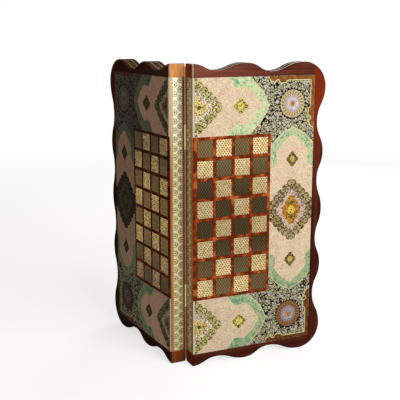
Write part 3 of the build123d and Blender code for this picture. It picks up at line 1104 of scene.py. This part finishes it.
def add_mesh(mesh, name, material):
    """Makes one object of a mesh, with its faces turned outwards."""
    bmesh.ops.recalc_face_normals(mesh, faces=mesh.faces[:])
    set_in_order(mesh)
    data = bpy.data.meshes.new(name)
    mesh.to_mesh(data)
    mesh.free()
    data.materials.append(material)
    return add_object(name, data)


def stand(mesh, side, name, material):
    """Makes one piece of a mesh drawn in a tray's own millimetres."""
    mesh.transform(tray_space(side))
    piece = add_mesh(mesh, name, material)
    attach(piece, f"{side}_tray")


def placed(middle, direction):
    """Turns a pattern's own axes to a place on the tray; direction is where its tip points."""
    ahead = Vector(direction)
    aside = Vector((-ahead.y, ahead.x))
    return Matrix(((ahead.x, aside.x, middle[0]), (ahead.y, aside.y, middle[1]), (0, 0, 1)))


def cartouches(side):
    """The cartouche ends of one tray: name, pattern axes, tip and the space that holds them."""
    shift = SIDE_BAND_SHIFT[side]
    ends = (EDGE_START, BLOCK_ALONG + TIP_ROOM)
    sides = (BLOCK_ALONG, PAINT_ALONG)
    return (
        ("upper", placed((0, END_BAND_MIDDLE), (1, 0)), END_TIP, ends, (BLOCK_UP, PAINT_UP)),
        ("lower", placed((0, -END_BAND_MIDDLE), (1, 0)), END_TIP, ends, (-PAINT_UP, -BLOCK_UP)),
        ("side_upper", placed((SIDE_BAND_MIDDLE, shift), (0, 1)), SIDE_TIP, sides, (shift, PANEL_UP)),
        ("side_lower", placed((SIDE_BAND_MIDDLE, shift), (0, -1)), SIDE_TIP, sides, (-PANEL_UP, shift)),
    )


def medallion_places(side):
    """Middles of one tray's medallions: name, pattern axes and the space that holds them."""
    shift = SIDE_BAND_SHIFT[side]
    ends = (EDGE_START, BLOCK_ALONG)
    sides = (BLOCK_ALONG, PAINT_ALONG)
    return (
        ("upper", placed((0, END_BAND_MIDDLE), (1, 0)), ends, (BLOCK_UP, PAINT_UP)),
        ("lower", placed((0, -END_BAND_MIDDLE), (1, 0)), ends, (-PAINT_UP, -BLOCK_UP)),
        ("side", placed((SIDE_BAND_MIDDLE, shift), (0, 1)), sides, (-PANEL_UP, PANEL_UP)),
    )


# Operators, one for each group of pieces

class ChessCaseOperator(bpy.types.Operator):
    """Shared base of the operators, which builds one side after the other"""

    bl_options = {"REGISTER", "UNDO"}

    def execute(self, context):
        for side in SIDES:
            self.build(side)
        return {"FINISHED"}


class CHESSCASE_OT_frame(ChessCaseOperator):
    """Finishes stiles, rails, hinge walls and boards in lacquered wood"""

    bl_idname = "chess_case.frame"
    bl_label = "Frame Wood"

    def build(self, side):
        for member in ("stile", "top_rail", "bottom_rail"):
            dress(f"{side}_{member}", finish(frame_wood, side, member))
        dress(f"{side}_hinge_wall", finish(wall_wood, side))
        dress(f"{side}_base_board", finish(board_edge, side))
        dress(f"{side}_corner_dowels", finish(board_edge, side))


class CHESSCASE_OT_bands(ChessCaseOperator):
    """Finishes the marquetry strips of the walls and wavy edges"""

    bl_idname = "chess_case.bands"
    bl_label = "Marquetry Strips"

    def build(self, side):
        dress(f"{side}_hinge_strip", finish(hinge_strip, side))
        dress(f"{side}_free_band", finish(edge_band, side, True))
        dress(f"{side}_top_band", finish(edge_band, side, False))
        dress(f"{side}_bottom_band", finish(edge_band, side, False))


class CHESSCASE_OT_squares(ChessCaseOperator):
    """Finishes the chess squares and the red lattice between them"""

    bl_idname = "chess_case.squares"
    bl_label = "Chess Squares"

    def build(self, side):
        dress(f"{side}_light_squares", finish(light_square, side))
        dress(f"{side}_dark_squares", finish(dark_square, side))
        dress(f"{side}_square_lines", finish(line_wood, side))


class CHESSCASE_OT_playing_field(ChessCaseOperator):
    """Finishes the backgammon field inside the trays"""

    bl_idname = "chess_case.playing_field"
    bl_label = "Playing Field"

    def build(self, side):
        dress(f"{side}_field_panel", finish(field_ground, side))
        dress(f"{side}_field_border", finish(field_strip, side))
        dress(f"{side}_field_star", finish(field_strip, side))
        pale = ((150, 120, 70), (222, 206, 160), "pale_points")
        deep = ((52, 26, 16), (104, 58, 34), "deep_points")
        dress(f"{side}_light_points", finish(point_marquetry, side, *pale))
        dress(f"{side}_dark_points", finish(point_marquetry, side, *deep))


class CHESSCASE_OT_cartouches(ChessCaseOperator):
    """Lays the mint borders, blush fields and pale outlines of the cartouches"""

    bl_idname = "chess_case.cartouches"
    bl_label = "Cartouches"

    def build(self, side):
        dress(f"{side}_face_panel", finish(corner_field, side))
        width = settings().outline_width / MM
        for name, turn, tip, along, up in cartouches(side):
            edge, field = cartouche_edge(tip), cartouche_field(tip)
            foot = [Vector((-1.0, -CARTOUCHE_HALF)), Vector((-1.0, CARTOUCHE_HALF))]
            border = Layers(side, 1, turn)
            border.plate(foot + edge)
            border.trim(along, up)
            border.finish(f"{side}_{name}_cartouche_border", finish(mint_border, side))
            inner = Layers(side, 2, turn)
            inner.plate(foot + field)
            inner.trim(along, up)
            inner.finish(f"{side}_{name}_cartouche_field", finish(blush_field, side))
            lines = Layers(side, 3, turn)
            lines.plate(ribbon(edge, width))
            lines.plate(ribbon(field, width))
            lines.trim(along, up)
            lines.finish(f"{side}_{name}_cartouche_lines", finish(pale_line, side))


# How far the sides of a medallion stand out, as a share of their length
MEDALLION_SWELL = {"end": 0.03, "side": 0.045}

# How many layers of paint the top of each part lies over the panel
MEDALLION_LEVELS = {
    "outline": 4, "ground": 5, "second_flowers": 6, "outer_flowers": 7, "tip_flowers": 8,
    "lilac": 7, "lilac_stars": 8, "middle": 9, "leaves": 10, "sparks": 11, "core": 12,
}

# The finish of each part, its colours on the end medallions and on the side ones, and its other details
PALE_FLOWER = ((40, 32, 16), (240, 230, 176), (214, 204, 122), (242, 232, 176), (70, 54, 28))
DEEP_FLOWER = ((26, 18, 12), (216, 196, 152), (180, 164, 102), (226, 206, 152), (54, 38, 22))
LILAC_STAR = ((110, 74, 70), (252, 244, 226), (240, 222, 204), (220, 164, 140), (236, 208, 104))
CORE = ((96, 68, 26), (246, 216, 84), (240, 204, 70), (252, 236, 130), (160, 90, 36))
MEDALLION_FINISHES = {
    "outline": (speckled, ((206, 190, 100), (236, 224, 150)), ((146, 130, 82), (178, 162, 108)), ()),
    "ground": (speckled, ((34, 26, 14), (206, 192, 122)), ((34, 26, 14), (160, 134, 86)), (1.6, 0.52)),
    "outer_flowers": (flower, PALE_FLOWER, DEEP_FLOWER, ()),
    "second_flowers": (flower, PALE_FLOWER, DEEP_FLOWER, ()),
    "tip_flowers": (flower, PALE_FLOWER, DEEP_FLOWER, ()),
    "lilac": (speckled, ((116, 84, 66), (252, 238, 200)), ((96, 62, 60), (232, 206, 190)), (1.9, 0.48)),
    "lilac_stars": (flower, LILAC_STAR, LILAC_STAR, ()),
    "middle": (speckled, ((110, 84, 40), (250, 226, 140)), ((84, 56, 26), (204, 148, 62)), (2.0, 0.47)),
    "leaves": (speckled, ((60, 70, 36), (112, 116, 60)), ((60, 70, 36), (112, 116, 60)), ()),
    "sparks": (
        flower, ((110, 52, 26), (240, 196, 110), (220, 132, 58), (244, 206, 104), (110, 50, 28)),
        ((110, 52, 26), (232, 142, 60), (220, 132, 58), (244, 206, 104), (110, 50, 28)), (),
    ),
    "core": (flower, CORE, CORE, ()),
}


def medallion_finish(side, kind, part):
    """The finish of one part of a medallion; on the left tray its colours are darkened as painted shade, the
    side medallion's twice, the end medallions' lilac parts not at all.
    """
    maker, ends, sides, details = MEDALLION_FINISHES[part]
    if kind == "side":
        colours = twice_shade_toned(side, *sides)
    elif "lilac" in part:
        colours = ends
    else:
        colours = shade_toned(side, *ends)
    return finish(maker, f"{side}_{kind}_medallion_{part}", *colours, *details)


class CHESSCASE_OT_medallions(ChessCaseOperator):
    """Lays the flowered medallions on the cartouches"""

    bl_idname = "chess_case.medallions"
    bl_label = "Medallions"

    def build(self, side):
        length, width = settings().medallion_length / MM, settings().medallion_width / MM
        radius = settings().flower_radius / MM
        for name, turn, along, up in medallion_places(side):
            kind = "side" if name == "side" else "end"
            swell = MEDALLION_SWELL[kind]
            layers = {part: Layers(side, level, turn) for part, level in MEDALLION_LEVELS.items()}
            layers["outline"].plate(lobed(diamond(length - 2.0, width - 0.5), 6, 0.3, swell))
            layers["ground"].plate(lobed(diamond(length - 2.8, width - 1.4), 6, 0.26, swell))
            for place in quarters((0, width - 6.0), (length - 7.6, 3.6), 7, swell):
                layers["outer_flowers"].disc(place, radius * 0.74, 12)
            for place in quarters((0, width * 0.7), (length * 0.77, 0), 9, swell):
                layers["second_flowers"].disc(place, radius * 0.5, 10)
            layers["lilac"].plate(lobed(diamond(length * 0.66, width * 0.58), 5, 0.26, swell))
            for place in quarters((0, width * 0.44), (length * 0.53, 0), 6, swell):
                layers["lilac_stars"].disc(place, radius * 0.7, 12, 0.35)
            layers["middle"].plate(lobed(diamond(length * 0.46, width * 0.34), 3, 0.3, swell))
            for end in (1, -1):
                layers["tip_flowers"].disc((end * (length - 7.0), 0), radius * 1.1, 14)
                layers["sparks"].disc((end * length * 0.36, 0), 3.6, 12, 0.25)
                layers["leaves"].disc((end * length * 0.22, 0), 4.4, 12, 0.4)
                layers["sparks"].disc((0, end * width * 0.22), 3.2, 12, 0.25)
            layers["core"].disc((0, 0), 8.4, 18, 0.26)
            for part, layer in layers.items():
                layer.trim(along, up)
                layer.finish(f"{side}_{name}_medallion_{part}", medallion_finish(side, kind, part))


# Small diamonds: distance back from the cartouche's tip, half width, and radius of the heart
SMALL_DIAMONDS = {"end": (52.3, 12.8, 7.4), "side": (54.8, 11.8, 6.0)}
DIAMOND_LENGTH = 14.0
DIAMOND_COLOURS = {
    "end": ((58, 48, 22), (206, 192, 100)),
    "side": ((48, 38, 20), (150, 130, 76)),
}
DIAMOND_HEARTS = {
    "end": ((176, 150, 56), (252, 240, 130), (244, 226, 100), (254, 246, 170), (200, 160, 60)),
    "side": ((136, 104, 48), (232, 204, 108), (220, 188, 88), (240, 218, 130), (176, 128, 52)),
}


class CHESSCASE_OT_small_diamonds(ChessCaseOperator):
    """Lays the small lobed diamonds between medallion and cartouche tip"""

    bl_idname = "chess_case.small_diamonds"
    bl_label = "Small Diamonds"

    def build(self, side):
        for kind, (back, width, heart_radius) in SMALL_DIAMONDS.items():
            outline, ground, heart = Layers(side, 4), Layers(side, 5), Layers(side, 6)
            outer = lobed(diamond(DIAMOND_LENGTH, width + 0.4), 3, 0.2)
            inner = lobed(diamond(DIAMOND_LENGTH - 1.1, width - 0.7), 3, 0.24)
            for name, turn, tip, *_ in cartouches(side):
                if ("side" in name) != (kind == "side"):
                    continue
                middle = Vector((tip - back, 0))
                for layers in (outline, ground, heart):
                    layers.turn = turn
                outline.plate([middle + point for point in outer])
                ground.plate([middle + point for point in inner])
                heart.disc(middle, heart_radius, 16, 0.34)
            # The left tray's diamonds get twice the painted shade
            ground_tones = twice_shade_toned(side, *DIAMOND_COLOURS[kind])
            heart_tones = twice_shade_toned(side, *DIAMOND_HEARTS[kind])
            whole = f"{side}_{kind}_small_diamond"
            outline.finish(f"{whole}_outlines", finish(pale_line, side))
            ground.finish(f"{whole}_grounds", finish(speckled, f"{whole}_ground", *ground_tones, 2.0, 0.48))
            heart.finish(f"{whole}_hearts", finish(flower, f"{whole}_heart", *heart_tones))


STAR_COLOURS = {
    "upper": ((176, 172, 176), (232, 222, 214), (214, 208, 214), (226, 202, 190), (206, 150, 108)),
    "lower": ((132, 122, 124), (196, 186, 180), (178, 166, 166), (190, 164, 150), (170, 120, 84)),
}
ROSETTE_COLOURS = {
    "upper": ((226, 208, 160), (136, 100, 66), (204, 192, 180)),
    "lower": ((168, 120, 78), (112, 72, 46), (160, 158, 172)),
}
ROSETTE_HEART = ((168, 100, 40), (206, 146, 64), (196, 134, 56), (196, 118, 46), (140, 76, 34))


class CHESSCASE_OT_rosettes(ChessCaseOperator):
    """Lays the corner rosettes: dark teeth, petal ring, pale star and heart"""

    bl_idname = "chess_case.rosettes"
    bl_label = "Corner Rosettes"

    def build(self, side):
        radius = settings().rosette_radius / MM
        for end, name in ((1, "upper"), (-1, "lower")):
            middle = Vector((ROSETTE[0], end * ROSETTE[1]))
            teeth, petals, star, heart = Layers(side, 1), Layers(side, 2), Layers(side, 3), Layers(side, 4)
            for place in ring(radius + 2.0, settings().rosette_teeth):
                teeth.disc(middle + place, ROSETTE_TOOTH, 8)
            teeth.disc(middle, radius + 0.9, 48)
            petals.disc(middle, radius, 56, 0.035)
            star.disc(middle, radius * 0.525, 16, 0.16)
            heart.disc(middle, radius * 0.185, 16)
            whole = f"{side}_{name}_rosette"
            # The left tray's rosettes get painted shade
            ring_tones = shade_toned(side, *ROSETTE_COLOURS[name])
            star_tones = shade_toned(side, *STAR_COLOURS[name])
            heart_tones = shade_toned(side, *ROSETTE_HEART)
            teeth.finish(f"{whole}_teeth", finish(speckled, "rosette_tooth", (22, 20, 15), (38, 34, 24)))
            petals.finish(f"{whole}_petals", finish(rosette_ring, f"{whole}_petals", *ring_tones))
            star.finish(f"{whole}_star", finish(flower, f"{whole}_star", *star_tones, 8))
            heart.finish(f"{whole}_heart", finish(flower, f"{side}_rosette_heart", *heart_tones))


def border_profile():
    """Inner edge of a corner border's arm: distance from the corner, and depth."""
    return curve(
        (7.2, 7.2, 0.0), (50.0, 7.2, -0.2), (54.5, 12.2, -0.16), (62.0, 12.2, 0.2),
        (68.5, 6.0, -0.22), (76.0, 12.4, -0.14), (81.5, 8.2, 0.12), (87.0, 0.6, 0.0),
    )


class CHESSCASE_OT_corner_borders(ChessCaseOperator):
    """Lays the brown-gold corner borders with their pale scalloped lines"""

    bl_idname = "chess_case.corner_borders"
    bl_label = "Corner Borders"

    def build(self, side):
        gold, lines = Layers(side, 1), Layers(side, 2)
        width = settings().outline_width / MM
        arm = border_profile()
        for end in (1, -1):
            corner = Vector((PAINT_ALONG, end * PAINT_UP))
            level = [corner + Vector((-p.x, -end * p.y)) for p in arm]
            upright = [corner + Vector((-p.y, -end * p.x)) for p in arm]
            inner = level[::-1] + upright[1:]
            gold.plate(inner + [corner])
            lines.plate(ribbon(inner, width))
        gold.finish(f"{side}_corner_borders", finish(gold_border, side))
        lines.finish(f"{side}_corner_border_lines", finish(pale_line, side))


class CHESSCASE_OT_rim_bead(ChessCaseOperator):
    """Lays the thin wooden bead along the rim of the right hinge wall, clear of the hinges"""

    bl_idname = "chess_case.rim_bead"
    bl_label = "Rim Bead"

    def execute(self, context):
        mesh = bmesh.new()
        away_from_wall = ring(BEAD_RADIUS, 12, math.radians(-25))[4:]
        profile = [Vector(BEAD_ROOT)] + away_from_wall
        under, over = HINGE_AT - HINGE_SPACE, HINGE_AT + HINGE_SPACE
        for low, high in ((-BEAD_END, -over), (-under, under), (over, BEAD_END)):
            verts = [mesh.verts.new((point.x, low, point.y)) for point in profile]
            extrude(mesh, [mesh.faces.new(verts)], (0, high - low, 0))
        stand(mesh, "right", "rim_bead", finish(bead_wood))
        return {"FINISHED"}


class CHESSCASE_OT_metalwork(ChessCaseOperator):
    """Finishes hinges, screws and hook latches in pale brass"""

    bl_idname = "chess_case.metalwork"
    bl_label = "Hinges and Hooks"

    def execute(self, context):
        for node in NODES:
            if "hook" in node or node.endswith(("_leaf", "_pin", "_screws")):
                dress(node, finish(brass))
        return {"FINISHED"}


class CHESSCASE_OT_stage(ChessCaseOperator):
    """Sets the pale floor, the soft lamps, the sky and the camera"""

    bl_idname = "chess_case.stage"
    bl_label = "Stage"

    def execute(self, context):
        lay_floor()
        for name, details in LAMPS.items():
            hang_lamp(name, *details)
        light_sky()
        set_camera()
        context.scene.view_settings.view_transform = "Standard"
        return {"FINISHED"}


def lay_floor():
    """A wide white floor under the case, which takes the shadow near it and fades to plain white."""
    mesh = bmesh.new()
    bmesh.ops.create_circle(mesh, cap_ends=True, segments=64, radius=FLOOR_RADIUS)
    bmesh.ops.translate(mesh, verts=mesh.verts[:], vec=(0, 0, cad_box[0].z - FLOOR_DROP))
    made = Finish("floor_white", 0.9, specular=0.0)
    x, y = made.place().parts()[:2]
    far = distance(x, y).step(*FLOOR_FADE)
    made.colour(-far * 0.5 + 0.5)
    plug(made.tree, seen_plainly(made.tree) * (far * 0.3 + 0.7), made.surface.inputs["Emission Strength"])
    made.surface.inputs["Emission Color"].default_value = (1.0, 1.0, 1.0, 1.0)
    floor = add_mesh(mesh, "floor", made.material)


def seen_plainly(tree):
    """1 for rays of the camera, reflections and glass, 0 for the light on the object."""
    path = tree.nodes.new("ShaderNodeLightPath")
    rays = [Value(tree, path.outputs[f"Is {kind} Ray"]) for kind in ("Camera", "Glossy", "Transmission")]
    return rays[0].most(rays[1]).most(rays[2])


def aim(item, ahead):
    """Turns a lamp or the camera to look along a direction."""
    item.rotation_mode = "QUATERNION"
    item.rotation_quaternion = ahead.to_track_quat("-Z", "Y")


def hang_lamp(name, place, width, height, power):
    """A soft rectangular lamp that looks at the middle of the case."""
    data = bpy.data.lights.new(name, "AREA")
    data.shape = "RECTANGLE"
    data.size = width
    data.size_y = height
    data.energy = power
    lamp = add_object(name, data)
    lamp.location = place
    aim(lamp, LAMP_AIM - lamp.location)


def light_sky():
    """White where it is seen or reflected, and a dim warm fill elsewhere."""
    world = bpy.data.worlds.new("studio")
    world.use_nodes = True
    bpy.context.scene.world = world
    tree = world.node_tree
    background = tree.nodes["Background"]
    seen = seen_plainly(tree)
    plug(tree, blend(seen, (1.0, 0.87, 0.78), (1.0, 1.0, 1.0)), background.inputs["Color"])
    plug(tree, seen * 0.87 + 0.13, background.inputs["Strength"])


def set_camera():
    """The photographed view."""
    data = bpy.data.cameras.new("camera")
    data.sensor_width = 36.0
    data.lens = CAMERA_LENS
    data.clip_start = 0.05
    data.clip_end = 50.0
    camera = add_object("camera", data)
    camera.location = Vector((HINGE.x, HINGE.y, 0)) + CAMERA_PLACE
    level = math.cos(CAMERA_TILT)
    ahead = Vector((CAMERA_HEADING[0] * level, CAMERA_HEADING[1] * level, -math.sin(CAMERA_TILT)))
    aim(camera, ahead)
    bpy.context.scene.camera = camera


OPERATORS = (
    CHESSCASE_OT_frame,
    CHESSCASE_OT_bands,
    CHESSCASE_OT_squares,
    CHESSCASE_OT_playing_field,
    CHESSCASE_OT_cartouches,
    CHESSCASE_OT_medallions,
    CHESSCASE_OT_small_diamonds,
    CHESSCASE_OT_rosettes,
    CHESSCASE_OT_corner_borders,
    CHESSCASE_OT_rim_bead,
    CHESSCASE_OT_metalwork,
    CHESSCASE_OT_stage,
)


class CHESSCASE_PT_sidebar(bpy.types.Panel):
    """Lists the sizes, colours and steps of the chess case"""

    bl_idname = "CHESSCASE_PT_sidebar"
    bl_label = "Chess Case"
    bl_space_type = "VIEW_3D"
    bl_region_type = "UI"
    bl_category = "Chess Case"

    def draw(self, context):
        for name in ChessCaseSettings.__annotations__:
            self.layout.prop(context.scene.chess_case, name)
        for operator in OPERATORS:
            self.layout.operator(operator.bl_idname)


def register():
    for kind in (ChessCaseSettings, *OPERATORS, CHESSCASE_PT_sidebar):
        bpy.utils.register_class(kind)
    bpy.types.Scene.chess_case = PointerProperty(type=ChessCaseSettings)


def unregister():
    del bpy.types.Scene.chess_case
    for kind in reversed((ChessCaseSettings, *OPERATORS, CHESSCASE_PT_sidebar)):
        bpy.utils.unregister_class(kind)


def main():
    """Builds the looks of the case."""
    register()
    for operator in OPERATORS:
        group, name = operator.bl_idname.split(".")
        getattr(getattr(bpy.ops, group), name)()


if __name__ == "__main__":
    main()
